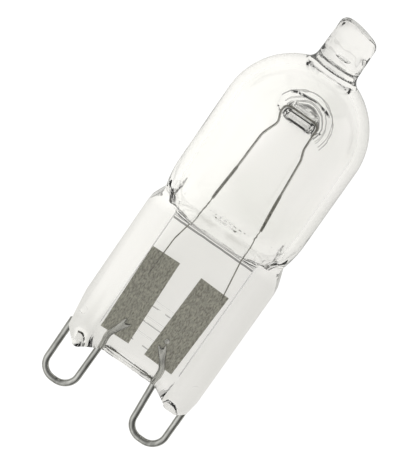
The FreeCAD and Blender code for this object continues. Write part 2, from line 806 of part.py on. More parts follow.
def build_foil(bench, side):
    """Thin sealing foil inside the web, leaning a little outwards."""
    body = bench.body(f"foil_{side}")
    sign = SIDES[side]
    sketch = bench.sketch(body, f"Foil{side}Outline", "XZ_Plane", "-foil_face_depth")
    foot = (f"{sign} * {side}_foil_offset", "foil_foot_height")
    turned = "sin(foil_lean)", "cos(foil_lean)"
    corners = []
    for across, up in (("-0.5", "0"), ("0.5", "0"), ("0.5", "1"), ("-0.5", "1")):
        width, length = f"{across} * foil_width", f"{up} * foil_length"
        corners.append(
            (
                f"{foot[0]} + {width} * {turned[1]} + {sign} * {length} * {turned[0]}",
                f"{foot[1]} - {sign} * {width} * {turned[0]} + {length} * {turned[1]}",
            )
        )
    bench.outline(sketch, corners)
    pad = bench.pad(body, f"Foil{side}Sheet", sketch, "foil_thickness")
    pad.Reversed = True
    return body


def seat_on_foil(bench, body, name, low):
    """Cuts a wire flat above a height, where it is welded to its foil."""
    seat = bench.sketch(body, f"{name}Seat", "XZ_Plane", "-foil_face_depth")
    side, top = "pinch_width / 2", "foil_foot_height + foil_length"
    bench.outline(seat, ((f"-{side}", low), (side, low), (side, top), (f"-{side}", top)))
    bench.cut(body, "Pocket", f"{name}Flat", Profile=seat, Length="wire_diameter")


def build_loop(bench, side):
    """Bent contact wire: a free arm, the loop, and an arm that goes up to its weld."""
    body = bench.body(f"contact_loop_{side}")
    sign = SIDES[side]
    corners = (
        (f"{sign} * outer_arm", f"{side}_free_end_height"),
        (f"{sign} * outer_arm", "loop_foot", "loop_bend_radius"),
        (f"{sign} * inner_arm", "loop_foot", "loop_bend_radius"),
        (f"{sign} * {side}_knee_offset", "knee_height", "knee_radius"),
        (f"{sign} * {side}_weld_offset", "weld_height"),
    )
    name = f"Loop{side}"
    bench.wire(body, name, corners, "wire_diameter")
    lean = "foil_width / 2 * sin(foil_lean)"
    seat_on_foil(bench, body, name, f"foil_foot_height - {lean} - weld_seat_margin")
    return body


def build_lead(bench, side):
    """Thin inner lead, from its weld on the foil to the foot of the filament."""
    body = bench.body(f"inner_lead_{side}")
    sign = SIDES[side]
    bend = "lead_bend_radius"
    corners = (
        (f"{sign} * {side}_coil_foot_offset", "coil_foot_height"),
        (f"{sign} * {side}_lead_neck_offset", "lead_neck_height", bend),
        (f"{sign} * {side}_lead_bend_offset", f"{side}_lead_bend_height", bend),
        (f"{sign} * {side}_lead_foot_offset", f"{side}_lead_foot_height"),
    )
    name = f"Lead{side}"
    bench.wire(body, name, corners, "lead_diameter")
    seat_on_foil(bench, body, name, "foil_foot_height")
    return body


def build_filament(bench):
    """Coil envelope: two close-wound legs, and the coil that passes over the tongue."""
    body = bench.body("filament")
    elbow = "coil_elbow_radius"
    run = []
    for side in ("left", "right"):
        sign = SIDES[side]
        foot, top = f"{side}_coil_foot_offset", f"{side}_leg_top_offset"
        slope = f"({foot} - {top}) / (leg_top_height - coil_foot_height)"
        low = f"{sign} * ({foot} + coil_foot_trim * {slope})"
        start = (low, "coil_foot_height - coil_foot_trim")
        end = (f"{sign} * {top}", "leg_top_height")
        bench.wire(body, f"Leg{side}", (start, end), "leg_diameter")
        beside = f"{sign} * (coil_side + coil_clearance)"
        run.append(
            [
                start,
                end + (elbow,),
                (f"{sign} * {side}_coil_elbow_offset", "coil_elbow_height", elbow),
                (f"{sign} * {side}_coil_neck_offset", f"{side}_coil_neck_height", elbow),
                (beside, "coil_side_height", elbow),
                (beside, "coil_top", "coil_top_radius"),
            ]
        )
    bench.wire(body, "Coil", run[0] + run[1][::-1], "coil_diameter")
    level = bench.sketch(body, "CoilFoot", "XY_Plane", "coil_foot_height")
    bench.circle(level, "0", "0", "bulb_diameter")
    bench.cut(body, "Pocket", "CoilFeet", Profile=level, Length="2 * coil_foot_trim")
    return body


def build_glass(bench, blank, pieces):
    """The capsule: the blank less the room of every piece that is sealed in it."""
    sealed = bench.doc.addObject("Part::Compound", "sealed_pieces")
    sealed.Links = pieces
    glass = bench.doc.addObject("Part::Cut", GLASS)
    glass.Base = blank
    glass.Tool = sealed
    glass.Label = GLASS
    return glass


def lay_down(bodies):
    """Turns the pieces from upright to their rest, and moves them with one another."""
    for body in bodies:
        body.setExpression("Placement.Rotation.Axis.x", "1")
        body.setExpression("Placement.Rotation.Axis.z", "0")
        body.setExpression("Placement.Rotation.Angle", "Sizes.rest_tilt - 90 deg")
        body.setExpression("Placement.Base.y", "Sizes.rest_shift")
        body.setExpression("Placement.Base.z", "Sizes.rest_lift")


def set_origin(bench, bodies):
    """Puts the origin at the middle of the underside of the part's bounding box."""
    bench.doc.recompute()
    boxes = [body.Shape.optimalBoundingBox(False, False) for body in bodies]
    front, back = min(b.YMin for b in boxes), max(b.YMax for b in boxes)
    bench.sheet.set("rest_shift", str(-(front + back) / 2))
    bench.sheet.set("rest_lift", str(-min(b.ZMin for b in boxes)))
    bench.doc.recompute()
    rest = [bench.sheet.get(name) for name in ("rest_tilt", "rest_shift", "rest_lift")]
    print("turned, shifted and lifted by", *rest)


def write(doc, parts):
    """Writes one file for each sub-part, once the whole document is sound."""
    failed = [o.Name for o in doc.Objects if {"Invalid", "Error"} & set(o.State)]
    for part in parts:
        if part.Shape.isNull() or not part.Shape.isValid() or len(part.Shape.Solids) != 1:
            failed.append(part.Label)
    if failed:
        raise ValueError(f"not sound: {failed}")
    os.makedirs("parts", exist_ok=True)
    for part in parts:
        part.Shape.exportStep(f"parts/{part.Label}.step")
        print(part.Label, round(part.Shape.Volume, 3))


def main():
    doc = FreeCAD.newDocument("capsule_bulb")
    bench = Bench(doc)
    blank = build_blank(bench)
    pieces = []
    for build in (build_loop, build_foil, build_lead):
        pieces += [build(bench, side) for side in SIDES]
    pieces.append(build_filament(bench))
    lay_down([blank] + pieces)
    set_origin(bench, [blank] + pieces)
    glass = build_glass(bench, blank, pieces)
    doc.recompute()
    write(doc, [glass] + pieces)


main()
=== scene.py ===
import json
import math

import bmesh
import bpy
from mathutils import Matrix, Vector
from mathutils.bvhtree import BVHTree
from mathutils.kdtree import KDTree
import numpy as np


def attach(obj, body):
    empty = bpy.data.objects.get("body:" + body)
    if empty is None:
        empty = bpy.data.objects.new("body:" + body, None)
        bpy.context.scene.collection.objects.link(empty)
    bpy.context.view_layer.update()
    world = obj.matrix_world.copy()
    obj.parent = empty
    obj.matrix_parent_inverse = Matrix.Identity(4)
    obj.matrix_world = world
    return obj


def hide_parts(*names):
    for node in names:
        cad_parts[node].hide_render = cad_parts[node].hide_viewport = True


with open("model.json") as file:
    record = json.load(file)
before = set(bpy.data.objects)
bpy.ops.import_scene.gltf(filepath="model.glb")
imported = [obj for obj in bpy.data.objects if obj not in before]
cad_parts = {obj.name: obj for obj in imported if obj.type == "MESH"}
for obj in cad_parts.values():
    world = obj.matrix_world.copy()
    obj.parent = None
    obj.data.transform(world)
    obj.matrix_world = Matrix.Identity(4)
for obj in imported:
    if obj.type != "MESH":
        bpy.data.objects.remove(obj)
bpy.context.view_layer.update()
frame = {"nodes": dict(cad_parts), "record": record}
mm = 0.001

# The bulb's own axes, read from the plug's place: X across the pinch, Y from front to
# back, Z along the bulb towards its tip, with Z 0 at the foot of the web.
plug = frame["record"]["mounts"][0]
axisUp = -Vector(plug["axis"]).normalized()
axisAcross = Vector((1, 0, 0))
axisDeep = axisUp.cross(axisAcross)
turned = Matrix((axisAcross, axisDeep, axisUp)).transposed().to_4x4()
laidDown = Matrix.Translation(Vector(plug["pos_m"])) @ turned @ Matrix.Scale(mm, 4)
print("frame read")


# Node helpers

def newMaterial(name):
    material = bpy.data.materials.new(name)
    material.use_nodes = True
    return material, material.node_tree.nodes, material.node_tree.links


def newGroup(name, inputs, outputs):
    group = bpy.data.node_groups.new(name, "ShaderNodeTree")
    for label, kind, value in inputs:
        socket = group.interface.new_socket(label, in_out="INPUT", socket_type=kind)
        socket.default_value = value
    for label, kind in outputs:
        group.interface.new_socket(label, in_out="OUTPUT", socket_type=kind)
    start = group.nodes.new("NodeGroupInput")
    end = group.nodes.new("NodeGroupOutput")
    return group, start, end


def placeGroup(nodes, group, values):
    node = nodes.new("ShaderNodeGroup")
    node.node_tree = group
    for label, value in values.items():
        node.inputs[label].default_value = value
    return node


# The next helpers add to the node tree that nodes and links were last taken from
def feed(socket, value):
    if isinstance(value, bpy.types.NodeSocket):
        links.new(value, socket)
    else:
        socket.default_value = value


def mathNode(kind, *values):
    node = nodes.new("ShaderNodeMath")
    node.operation = kind
    for socket, value in zip(node.inputs, values):
        feed(socket, value)
    return node.outputs["Value"]


def mixNode(kind, factor, start, end):
    node = nodes.new("ShaderNodeMix")
    node.data_type = kind
    for label, value in (("Factor", factor), ("A", start), ("B", end)):
        feed(node.inputs[label], value)
    return node.outputs["Result"]


def rangeNode(value, low, high, toLow=0, toHigh=1, kind="LINEAR"):
    node = nodes.new("ShaderNodeMapRange")
    node.interpolation_type = kind
    labels = ("Value", "From Min", "From Max", "To Min", "To Max")
    for label, setting in zip(labels, (value, low, high, toLow, toHigh)):
        feed(node.inputs[label], setting)
    return node.outputs["Result"]


# Mottle: soft patches and fine grain, stretched along the bulb's length. The patch range
# is the part of the noise over which dark turns to light.
patchRange = (0.35, 0.65)
mottle, mottleIn, mottleOut = newGroup(
    "mottle",
    [
        ("Dark", "NodeSocketColor", (0.1, 0.1, 0.1, 1)),
        ("Light", "NodeSocketColor", (0.5, 0.5, 0.5, 1)),
        ("Size", "NodeSocketFloat", 1000.0),
        ("Stretch", "NodeSocketVector", (1, 1, 1)),
        ("Detail", "NodeSocketFloat", 6.0),
        ("Rough Low", "NodeSocketFloat", 0.2),
        ("Rough High", "NodeSocketFloat", 0.4),
    ],
    [
        ("Color", "NodeSocketColor"),
        ("Roughness", "NodeSocketFloat"),
        ("Height", "NodeSocketFloat"),
    ],
)
nodes, links = mottle.nodes, mottle.links
place = nodes.new("ShaderNodeTexCoord")
stretch = nodes.new("ShaderNodeVectorMath")
stretch.operation = "MULTIPLY"
patches = nodes.new("ShaderNodeTexNoise")
links.new(place.outputs["Object"], stretch.inputs[0])
links.new(mottleIn.outputs["Stretch"], stretch.inputs[1])
links.new(stretch.outputs["Vector"], patches.inputs["Vector"])
links.new(mottleIn.outputs["Size"], patches.inputs["Scale"])
links.new(mottleIn.outputs["Detail"], patches.inputs["Detail"])
contrast = rangeNode(patches.outputs["Fac"], *patchRange)
tone = mixNode("RGBA", contrast, mottleIn.outputs["Dark"], mottleIn.outputs["Light"])
gloss = rangeNode(
    contrast, 0, 1, mottleIn.outputs["Rough Low"], mottleIn.outputs["Rough High"]
)
links.new(tone, mottleOut.inputs["Color"])
links.new(gloss, mottleOut.inputs["Roughness"])
links.new(contrast, mottleOut.inputs["Height"])


# Painted shade in the glass's colour, standing in for the dark lines that its clear edges
# show by refraction: thin dark lines painted along the cavity's floor, in arcs round the
# crater in the back wall and dashed over the ribs, and soft dark curves painted over the
# lumps in the tip. Also a slight grey over the tip and the web, and painted shade over the
# bulb's right side. The lumps in the tip are a real bump. Lengths are in mm on the
# bulb's own axes. A line is its place, half its width and its strength, and what is across
# or deep is its middle and half its width. A rib shows where the noise is above the dash.
shadeAndLumpValues = {
    "floorLines": (
        (12.42, 0.09, 0.9),
        (12.64, 0.04, 0.75),
        (12.88, 0.06, 0.85),
        (13.1, 0.12, 0.96),
    ),
    "floorAcross": (0, 4.6),
    "floorDeep": (1.7, 0.3),
    "arcLines": (
        (1.62, 0.09, 0.85),
        (1.95, 0.045, 0.75),
        (2.3, 0.04, 0.6),
        (2.9, 0.05, 0.7),
    ),
    "arcCentre": (0.2, 24.2),
    "arcDeep": 3.0,
    "arcSlant": 0.4,
    "ribLines": ((1.62, 0.05, 0.75), (3.5, 0.05, 0.75), (5.02, 0.05, 0.75)),
    "ribAcross": (-0.1, 1.25),
    "dash": 0.46,
    "blobCentre": (0.55, 31.9),
    "blobRadius": 1.1,
    "blobLine": (0.5, 0.04),
    "blobStrength": 0.22,
    "bandSide": (3.4, 5.2),
    "paintedBandShade": 0.03,
    "waver": 0.3,
    "waverShare": 0.35,
    "waverSize": 900.0,
    "tipFoot": (28.8, 31.0),
    "tipGrey": 0.1,
    "lumpFoot": (31.2, 32.2),
    "webTop": (13.6, 13.0),
    "webGrey": 0.12,
    "lumpSize": 800.0,
    "lumpDetail": 1.0,
    "lumpHeight": 0.00022,
}
paintedShadeAndLumps, _, shadeAndLumpOutput = newGroup(
    "paintedShadeAndLumps", [], [("Shade", "NodeSocketFloat"), ("Height", "NodeSocketFloat")]
)
nodes, links = paintedShadeAndLumps.nodes, paintedShadeAndLumps.links
place = nodes.new("ShaderNodeTexCoord")
waver = nodes.new("ShaderNodeTexNoise")
waver.inputs["Scale"].default_value = shadeAndLumpValues["waverSize"]
lumps = nodes.new("ShaderNodeTexNoise")
lumps.inputs["Scale"].default_value = shadeAndLumpValues["lumpSize"]
lumps.inputs["Detail"].default_value = shadeAndLumpValues["lumpDetail"]
links.new(place.outputs["Object"], waver.inputs["Vector"])
links.new(place.outputs["Object"], lumps.inputs["Vector"])
readings = []
for direction in (axisAcross, axisDeep, axisUp):
    reading = nodes.new("ShaderNodeVectorMath")
    reading.operation = "DOT_PRODUCT"
    reading.inputs[1].default_value = direction / mm
    links.new(place.outputs["Object"], reading.inputs[0])
    zero = Vector(plug["pos_m"]).dot(direction) / mm
    readings.append(mathNode("SUBTRACT", reading.outputs["Value"], zero))
across, deep, high = readings
shift = mathNode("MULTIPLY_ADD", waver.outputs["Fac"], shadeAndLumpValues["waver"], -shadeAndLumpValues["waver"] / 2)
wavyHigh = mathNode("MULTIPLY_ADD", shift, shadeAndLumpValues["waverShare"], high)
shades = []


# Each painted shade lowers the glass's colour by its strength where it lies
def darken(where, strength):
    shades.append(mathNode("MULTIPLY_ADD", where, -strength, 1))


def drawLines(lines, reading, where):
    for middle, half, strength in lines:
        onLine = mathNode("COMPARE", reading, middle, half)
        darken(mathNode("MULTIPLY", onLine, where), strength)


def measureFrom(centre):
    aside = mathNode("SUBTRACT", across, centre[0])
    above = mathNode("SUBTRACT", high, centre[1])
    squares = mathNode("MULTIPLY_ADD", aside, aside, mathNode("MULTIPLY", above, above))
    return aside, above, mathNode("SQRT", squares)


# Painted shade: dark lines along the cavity's floor, standing in for its refracted edges
onFloor = mathNode(
    "MULTIPLY",
    mathNode("COMPARE", across, *shadeAndLumpValues["floorAcross"]),
    mathNode("COMPARE", deep, *shadeAndLumpValues["floorDeep"]),
)
drawLines(shadeAndLumpValues["floorLines"], wavyHigh, onFloor)
# Painted shade: dark arcs round the crater, standing in for its refracted rim
aside, above, distance = measureFrom(shadeAndLumpValues["arcCentre"])
roundCrater = mathNode(
    "MULTIPLY",
    mathNode("GREATER_THAN", deep, shadeAndLumpValues["arcDeep"]),
    mathNode("GREATER_THAN", mathNode("MULTIPLY_ADD", aside, shadeAndLumpValues["arcSlant"], above), 0),
)
drawLines(shadeAndLumpValues["arcLines"], mathNode("ADD", distance, shift), roundCrater)
# Painted shade: dashed dark lines over the ribs, standing in for their refracted edges
onRibs = mathNode(
    "MULTIPLY",
    mathNode("COMPARE", across, *shadeAndLumpValues["ribAcross"]),
    mathNode("GREATER_THAN", waver.outputs["Fac"], shadeAndLumpValues["dash"]),
)
onRibs = mathNode("MULTIPLY", onRibs, mathNode("COMPARE", deep, *shadeAndLumpValues["floorDeep"]))
drawLines(shadeAndLumpValues["ribLines"], wavyHigh, onRibs)
# Painted shade: soft dark curves over the lumps in the tip
aside, above, distance = measureFrom(shadeAndLumpValues["blobCentre"])
inBlobs = mathNode("LESS_THAN", distance, shadeAndLumpValues["blobRadius"])
inBlobs = mathNode("MULTIPLY", inBlobs, mathNode("GREATER_THAN", deep, 0))
blobs = mathNode("COMPARE", lumps.outputs["Fac"], *shadeAndLumpValues["blobLine"])
darken(mathNode("MULTIPLY", blobs, inBlobs), shadeAndLumpValues["blobStrength"])
# Painted shade over the bulb's right side, where the clear wall is seen darker
darken(rangeNode(across, *shadeAndLumpValues["bandSide"], kind="SMOOTHSTEP"), shadeAndLumpValues["paintedBandShade"])
# A slight grey over the tip and over the web
darken(rangeNode(high, *shadeAndLumpValues["tipFoot"]), shadeAndLumpValues["tipGrey"])
darken(rangeNode(high, *shadeAndLumpValues["webTop"]), shadeAndLumpValues["webGrey"])
shade = shades[0]
for further in shades[1:]:
    shade = mathNode("MULTIPLY", shade, further)
lumpy = mathNode("MULTIPLY", lumps.outputs["Fac"], shadeAndLumpValues["lumpHeight"])
lumpy = mathNode("MULTIPLY", lumpy, rangeNode(high, *shadeAndLumpValues["lumpFoot"]))
links.new(shade, shadeAndLumpOutput.inputs["Shade"])
links.new(lumpy, shadeAndLumpOutput.inputs["Height"])


def metalMaterial(name, values, bumpDepth):
    material, nodes, links = newMaterial(name)
    shader = nodes["Principled BSDF"]
    shader.inputs["Metallic"].default_value = 1
    look = placeGroup(nodes, mottle, values)
    bump = nodes.new("ShaderNodeBump")
    bump.inputs["Distance"].default_value = bumpDepth
    links.new(look.outputs["Color"], shader.inputs["Base Color"])
    links.new(look.outputs["Roughness"], shader.inputs["Roughness"])
    links.new(look.outputs["Height"], bump.inputs["Height"])
    links.new(bump.outputs["Normal"], shader.inputs["Normal"])
    return material


def glassMaterial(name, values, bending, ripple):
    material, nodes, links = newMaterial(name)
    shader = nodes["Principled BSDF"]
    shader.inputs["Transmission Weight"].default_value = 1
    shader.inputs["IOR"].default_value = bending
    look = placeGroup(nodes, mottle, values)
    shadeAndLumpNode = placeGroup(nodes, paintedShadeAndLumps, {})
    # The painted shade darkens the glass's base colour
    shaded = nodes.new("ShaderNodeVectorMath")
    shaded.operation = "SCALE"
    bump = nodes.new("ShaderNodeBump")
    bump.inputs["Distance"].default_value = 1
    height = nodes.new("ShaderNodeMath")
    height.operation = "MULTIPLY_ADD"
    height.inputs[1].default_value = ripple
    links.new(look.outputs["Color"], shaded.inputs["Vector"])
    links.new(shadeAndLumpNode.outputs["Shade"], shaded.inputs["Scale"])
    links.new(shaded.outputs["Vector"], shader.inputs["Base Color"])
    links.new(look.outputs["Roughness"], shader.inputs["Roughness"])
    links.new(look.outputs["Height"], height.inputs[0])
    links.new(shadeAndLumpNode.outputs["Height"], height.inputs[2])
    links.new(height.outputs["Value"], bump.inputs["Height"])
    links.new(bump.outputs["Normal"], shader.inputs["Normal"])
    return material


quartzGlass = glassMaterial(
    "quartzGlass",
    {
        "Dark": (0.975, 0.98, 0.97, 1),
        "Light": (1, 1, 1, 1),
        "Size": 160.0,
        "Detail": 0.5,
        "Rough Low": 0.0,
        "Rough High": 0.02,
    },
    bending=1.46,
    ripple=0.00002,
)
platedWire = metalMaterial(
    "platedWire",
    {
        "Dark": (0.34, 0.34, 0.315, 1),
        "Light": (0.56, 0.56, 0.525, 1),
        "Size": 2500.0,
        "Stretch": (1, 0.25, 1),
        "Rough Low": 0.08,
        "Rough High": 0.18,
    },
    bumpDepth=0.000004,
)
sealingFoil = metalMaterial(
    "sealingFoil",
    {
        "Dark": (0.22, 0.215, 0.18, 1),
        "Light": (0.56, 0.55, 0.47, 1),
        "Size": 9000.0,
        "Stretch": (1, 0.35, 1),
        "Rough Low": 0.35,
        "Rough High": 0.5,
    },
    bumpDepth=0.00001,
)
tungsten = metalMaterial(
    "tungsten",
    {
        "Dark": (0.2, 0.195, 0.17, 1),
        "Light": (0.42, 0.41, 0.36, 1),
        "Size": 4000.0,
        "Rough Low": 0.35,
        "Rough High": 0.5,
    },
    bumpDepth=0.000003,
)
print("materials made")


# An edge that turns by more degrees than this stays sharp
sharpTurn = 35


def addPiece(name, bm, node, material, sharpest=sharpTurn):
    for face in bm.faces:
        face.smooth = True
    for edge in bm.edges:
        edge.smooth = edge.calc_face_angle(0) < math.radians(sharpest)
    mesh = bpy.data.meshes.new(name)
    bm.to_mesh(mesh)
    bm.free()
    piece = bpy.data.objects.new(name, mesh)
    bpy.context.scene.collection.objects.link(piece)
    mesh.materials.append(material)
    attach(piece, "root")
    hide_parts(node)
    return piece


# Glass capsule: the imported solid's surface, closed over the pieces sealed in it. Its
# normals turn softly over edges and creases, as on glass that has melted. Each zone is a
# stretch along the bulb, up to a height: how far its normals are averaged, and up to
# which turn. The cuts split long faces at their heights, so that the normals can turn
# along them. The crater is in the back wall.
capsule = {
    "weld": 0.002 * mm,
    "touch": 0.016 * mm,
    "outerRadius": 6.27,
    "innerRadius": 5.42,
    "wallFoot": 17.4,
    "wallCloseness": 0.02,
    "domeHeight": 24.3,
    "wallTurn": 25,
    "zones": (
        (1.6, 1.0, 140),
        (13.0, 0.2, 60),
        (13.85, 0.1, 60),
        (17.9, 0.9, 70),
        (28.7, 0.22, 70),
        (31.5, 1.5, 140),
        (40, 1.1, 150),
    ),
    "cuts": (0.4, 0.9, 1.4, 14.0, 14.4, 14.9, 15.4, 15.9, 16.4, 16.9, 17.4, 17.95, 19.3)
    + (20.6, 21.8, 22.6, 23.3, 30.2, 31.0, 31.8, 32.6, 33.3),
    "craterCentre": (0, 25.3),
    "craterHalf": (4.3, 2.7),
    "craterDepth": 2.0,
    "craterReach": 0.6,
    "craterLimit": 110,
}


def softenNormals(mesh):
    count = len(mesh.polygons)
    normals = np.empty(count * 3)
    mesh.polygons.foreach_get("normal", normals)
    normals = normals.reshape(-1, 3)
    areas = np.empty(count)
    mesh.polygons.foreach_get("area", areas)
    tree = KDTree(count)
    for face in mesh.polygons:
        tree.insert(face.center, face.index)
    tree.balance()
    around = [set() for _ in mesh.vertices]
    for face in mesh.polygons:
        for corner in face.vertices:
            around[corner].add(face.index)
    upright = laidDown.inverted()
    limits, walls = [], []
    for vertex in mesh.vertices:
        place = upright @ vertex.co
        reach, limit = next(zone[1:] for zone in capsule["zones"] if place.z < zone[0])
        aside = (place.x - capsule["craterCentre"][0]) / capsule["craterHalf"][0]
        above = (place.z - capsule["craterCentre"][1]) / capsule["craterHalf"][1]
        nearCrater = math.hypot(aside, above) < 1 and place.y > capsule["craterDepth"]
        if nearCrater:
            reach, limit = capsule["craterReach"], capsule["craterLimit"]
        near = {index for _, index, _ in tree.find_range(vertex.co, reach * mm)}
        around[vertex.index] = np.array(sorted(near | around[vertex.index]))
        limits.append(math.cos(math.radians(limit)))
        spoke = Vector((place.x, place.y, max(place.z - capsule["domeHeight"], 0)))
        wall = None
        if place.z > capsule["wallFoot"] and not nearCrater:
            if abs(spoke.length - capsule["outerRadius"]) < capsule["wallCloseness"]:
                wall = (turned.to_3x3() @ spoke).normalized()
            if abs(spoke.length - capsule["innerRadius"]) < capsule["wallCloseness"]:
                wall = -(turned.to_3x3() @ spoke).normalized()
        walls.append(wall)
    wallLimit = math.cos(math.radians(capsule["wallTurn"]))
    custom = []
    for face in mesh.polygons:
        for corner in face.vertices:
            wall = walls[corner]
            if wall is not None and wall.dot(face.normal) > wallLimit:
                custom.append(wall)
                continue
            near = around[corner]
            weights = areas[near] * (normals[near] @ normals[face.index] > limits[corner])
            custom.append(Vector(weights @ normals[near]).normalized())
    mesh.normals_split_custom_set(custom)


def buildCapsule():
    metalTrees = []
    for name, node in frame["nodes"].items():
        if name != "glass_capsule":
            metal = bmesh.new()
            metal.from_mesh(node.data)
            metalTrees.append(BVHTree.FromBMesh(metal))
            metal.free()

    def touches(point):
        return any(
            tree.find_nearest(point, capsule["touch"])[0] is not None for tree in metalTrees
        )

    bm = bmesh.new()
    bm.from_mesh(frame["nodes"]["glass_capsule"].data)
    bmesh.ops.remove_doubles(bm, verts=bm.verts, dist=capsule["weld"])
    rooms = [
        face
        for face in bm.faces
        if touches(face.calc_center_median()) and all(touches(vert.co) for vert in face.verts)
    ]
    bmesh.ops.delete(bm, geom=rooms, context="FACES")
    openEdges = [edge for edge in bm.edges if edge.is_boundary]
    print("rooms closed:", len(rooms), "faces,", len(openEdges), "open edges")
    filled = bmesh.ops.holes_fill(bm, edges=openEdges, sides=0)["faces"]
    bmesh.ops.triangulate(bm, faces=filled, ngon_method="BEAUTY")
    for height in capsule["cuts"]:
        bmesh.ops.bisect_plane(
            bm,
            geom=bm.verts[:] + bm.edges[:] + bm.faces[:],
            dist=capsule["weld"],
            plane_co=laidDown @ Vector((0, 0, height)),
            plane_no=axisUp,
        )
    print("open edges left:", len([edge for edge in bm.edges if not edge.is_manifold]))
    piece = addPiece("glassCapsule", bm, "glass_capsule", quartzGlass)
    softenNormals(piece.data)


buildCapsule()
print("glass capsule made")

# Wires: round sections strung along paths in the plane across the pinch
depth = Vector((0, 1, 0))
arcStep = math.radians(4)


# Evenly spaced points along straight runs, with an arc at each corner's radius
def roundedPath(corners, step):
    points = [Vector((corner[0], 0, corner[1])) for corner in corners]
    line = [points[0]]
    for index, corner in enumerate(corners[1:-1], start=1):
        here, radius = points[index], corner[2]
        back = (points[index - 1] - here).normalized()
        onward = (points[index + 1] - here).normalized()
        half = back.angle(onward) / 2
        middle = here + (back + onward).normalized() * radius / math.sin(half)
        arm = here + back * radius / math.tan(half) - middle
        sweep = math.pi - 2 * half
        axis = back.cross(onward) * -1
        steps = max(2, math.ceil(sweep / arcStep))
        for part in range(steps + 1):
            line.append(middle + Matrix.Rotation(sweep * part / steps, 3, axis) @ arm)
    line.append(points[-1])
    reach = [0]
    for start, end in zip(line, line[1:]):
        reach.append(reach[-1] + (end - start).length)
    count = max(2, round(reach[-1] / step))
    spaced, run = [], 0
    for index in range(count + 1):
        goal = reach[-1] * index / count
        while run < len(line) - 2 and reach[run + 1] < goal:
            run += 1
        share = (goal - reach[run]) / (reach[run + 1] - reach[run])
        spaced.append(line[run].lerp(line[run + 1], min(max(share, 0), 1)))
    return spaced


def directions(points):
    ahead = points[1:] + points[-1:]
    behind = points[:1] + points[:-1]
    return [(after - before).normalized() for after, before in zip(ahead, behind)]


# The place of a circle on the path, stretched to half the wire's width and thickness
def section(point, ahead, wide, thick):
    aside = ahead.cross(depth)
    turnedHere = Matrix((aside * wide, depth * thick, ahead)).transposed().to_4x4()
    return Matrix.Translation(point) @ turnedHere


# A circle drawn out from section to section, closed at both ends
def tube(bm, sections, sides):
    start = bmesh.ops.create_circle(
        bm, cap_ends=True, segments=sides, radius=1, matrix=sections[0]
    )["verts"]
    rings = [start]
    rim = list({edge for vert in start for edge in vert.link_edges})
    for here, onward in zip(sections, sections[1:]):
        grown = bmesh.ops.extrude_edge_only(bm, edges=rim)["geom"]
        rings.append([part for part in grown if isinstance(part, bmesh.types.BMVert)])
        rim = [part for part in grown if isinstance(part, bmesh.types.BMEdge)]
        bmesh.ops.transform(bm, matrix=onward @ here.inverted(), verts=rings[-1])
    bmesh.ops.holes_fill(bm, edges=rim, sides=0)
    bmesh.ops.recalc_face_normals(bm, faces=bm.faces)
    return rings


def smoothStep(value):
    value = min(max(value, 0), 1)
    return value * value * (3 - 2 * value)


# Contact loops: each wire is squeezed flat where it is welded to its foil. The flat end
# is hollowed on its front, forked at its tip and seated on the foil.
loops = {
    "spacing": 9.0,
    "width": 3.05,
    "foot": -5.11,
    "bendRadius": 1.4,
    "wireRadius": 0.29,
    "freeEnd": {"left": 0.37, "right": -0.67},
    "knee": {"left": 2.88, "right": 2.5},
    "kneeHeight": 1.2,
    "kneeRadius": 0.9,
    "weld": {"left": 2.05, "right": 1.35},
    "weldHeight": 3.0,
    "flatLength": 1.5,
    "flatHalfWidth": 0.37,
    "flatHalfThickness": 0.13,
    "fold": 0.75,
    "fork": 0.4,
    "forkSteps": 8,
    "freeLength": 1.6,
    "freeSwell": 0.012,
    "seatHeight": 1.3,
    "seatDepth": 0.05,
    "sides": 32,
    "step": 0.08,
    "endChamfer": 0.08,
}


def buildLoop(side, sign):
    outer = sign * (loops["spacing"] + loops["width"]) / 2
    inner = sign * (loops["spacing"] - loops["width"]) / 2
    bend = loops["bendRadius"]
    points = roundedPath(
        (
            (outer, loops["freeEnd"][side]),
            (outer, loops["foot"], bend),
            (inner, loops["foot"], bend),
            (sign * loops["knee"][side], loops["kneeHeight"], loops["kneeRadius"]),
            (sign * loops["weld"][side], loops["weldHeight"]),
        ),
        loops["step"],
    )
    flatSteps = loops["flatLength"] / loops["step"]
    radius = loops["wireRadius"]
    sections, flats = [], []
    for index, (point, ahead) in enumerate(zip(points, directions(points))):
        left = len(points) - 1 - index
        flat = smoothStep(1 - left / flatSteps)
        wide = radius + flat * (loops["flatHalfWidth"] - radius)
        thick = radius + flat * (loops["flatHalfThickness"] - radius)
        trim = max(loops["endChamfer"] - min(index, left) * loops["step"], 0)
        if index * loops["step"] < loops["freeLength"]:
            trim -= loops["freeSwell"]
        sections.append(section(point, ahead, wide - trim, thick - trim))
        flats.append(flat)
    bm = bmesh.new()
    rings = tube(bm, sections, loops["sides"])
    for index, (place, flat, ring) in enumerate(zip(sections, flats, rings)):
        left = len(rings) - 1 - index
        seat = flat * (loops["seatDepth"] - loops["flatHalfThickness"])
        split = loops["fork"] * smoothStep(1 - left / loops["forkSteps"])
        for vert in ring:
            spot = place.inverted() @ vert.co
            if spot.y < 0:
                spot.y *= 1 - flat * loops["fold"] * (1 - min(abs(spot.x), 1)) ** 0.5
            spot.z -= split * (1 - min(spot.x**2, 1))
            vert.co = place @ spot + depth * seat
            if vert.co.z > loops["seatHeight"]:
                vert.co.y = min(vert.co.y, loops["seatDepth"])
    return bm


# Weld spot: a flat drop of metal with a dimple, on the right loop's wire
weldSpot = {
    "place": (1.52, 0.03, 3.48),
    "radius": 0.25,
    "rise": 0.09,
    "dimple": 0.2,
    "dimpleShare": 0.9,
    "slices": 24,
    "bands": 16,
}


